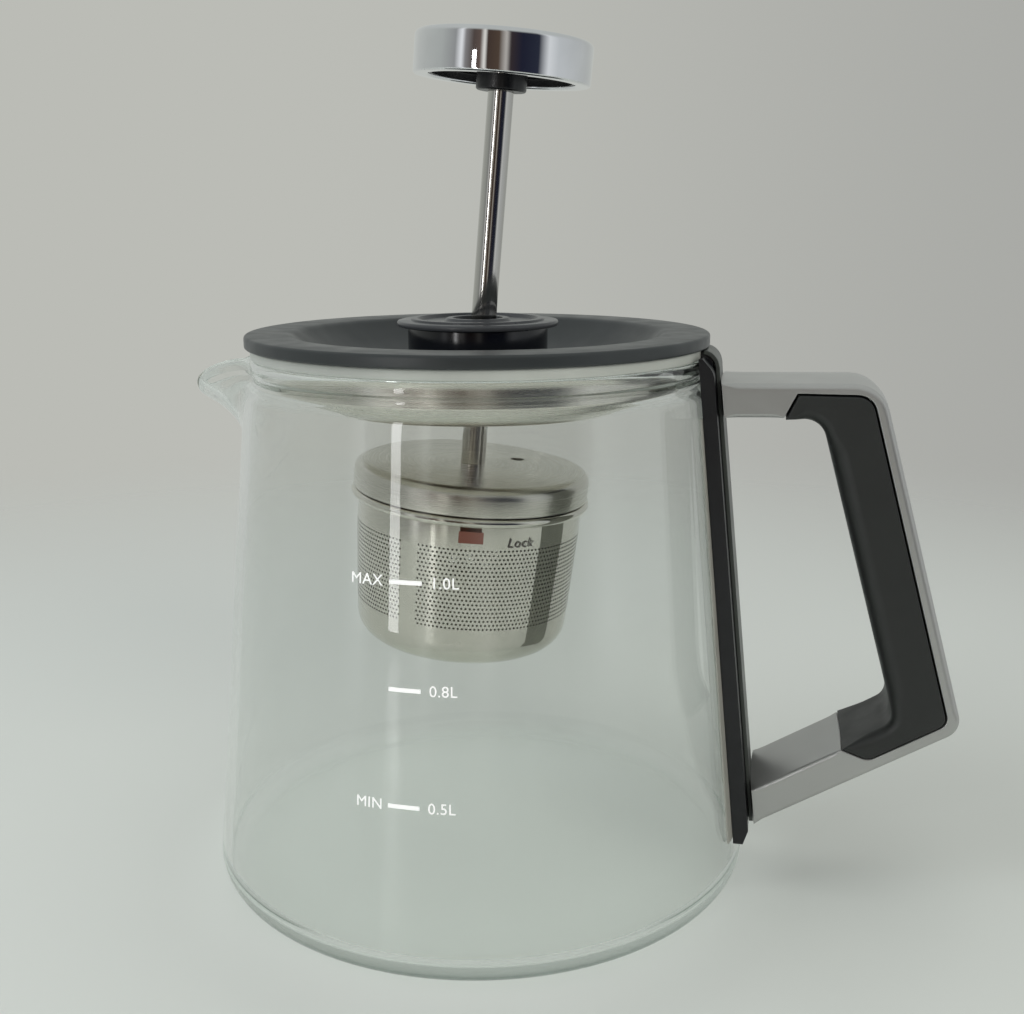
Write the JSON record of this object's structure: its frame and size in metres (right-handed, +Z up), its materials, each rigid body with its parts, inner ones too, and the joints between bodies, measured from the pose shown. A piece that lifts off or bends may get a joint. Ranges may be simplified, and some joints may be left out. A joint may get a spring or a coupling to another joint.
{
  "type": "tea maker",
  "caption": "Glass tea jug with handle and pouring spout, whose lid holds a sliding rod with a knob above and a closed strainer below.",
  "frame": {"origin": "middle of the jug's flat underside, on the jug's axis", "axes": "+Z up along the jug's axis, +X towards the handle, spout towards -X, +Y to the left of someone who looks along +X"},
  "size_m": [0.1872, 0.1338, 0.2008],
  "materials": {
    "clear_glass": "clear",
    "clear_bond": "smooth",
    "black_plastic": "gloss",
    "satin_steel": "satin",
    "charcoal_grip": "matte",
    "plain_steel": "plain",
    "grey_plastic": "matte",
    "pale_silicone": "matte",
    "satin_pan": "satin",
    "blue_black": "gloss",
    "polished_steel": "polished",
    "brushed_lid": "brushed",
    "mirror_cup": "polished, fine holes"
  },
  "bodies": {
    "jug": {"glass_jug": "clear_glass", "mount_pad": "clear_bond", "mount_strip": "black_plastic", "back_plate": "satin_steel", "handle_frame": "satin_steel", "grip_insert": "charcoal_grip", "handle_screws": "plain_steel"},
    "lid": {"lid_top": "grey_plastic", "lid_seal": "pale_silicone", "inner_cover": "satin_pan", "collar_barrel": "blue_black", "collar_cap": "blue_black", "collar_nut": "black_plastic", "guide_housing": "black_plastic"},
    "rod_guide": {"grip_ring": "pale_silicone"},
    "plunger": {"plunger_rod": "polished_steel", "knob_shell": "polished_steel", "knob_insert": "black_plastic", "knob_screw": "plain_steel", "basket_lid": "brushed_lid", "lid_nut": "plain_steel", "lid_washer": "plain_steel", "bayonet_ring": "plain_steel"},
    "basket": {"basket_cup": "mirror_cup"}
  },
  "joints": [
    {"name": "lid_lift", "type": "slide", "parent": "jug", "child": "lid", "axis": [0, 0, 1], "range_m": [0, 0.09]},
    {"name": "rod_tilt", "type": "hinge", "parent": "lid", "child": "rod_guide", "pos_m": [0, 0, 0.1194], "axis": [0, 1, 0], "range_deg": [-10, 0]},
    {"name": "rod_slide", "type": "slide", "parent": "rod_guide", "child": "plunger", "axis": [0.0872, 0, 0.9962], "range_m": [-0.049, 0.012]},
    {"name": "basket_twist", "type": "hinge", "parent": "plunger", "child": "basket", "pos_m": [0, 0, 0.1194], "axis": [0.0872, 0, 0.9962], "range_deg": [0, 25]}
  ]
}
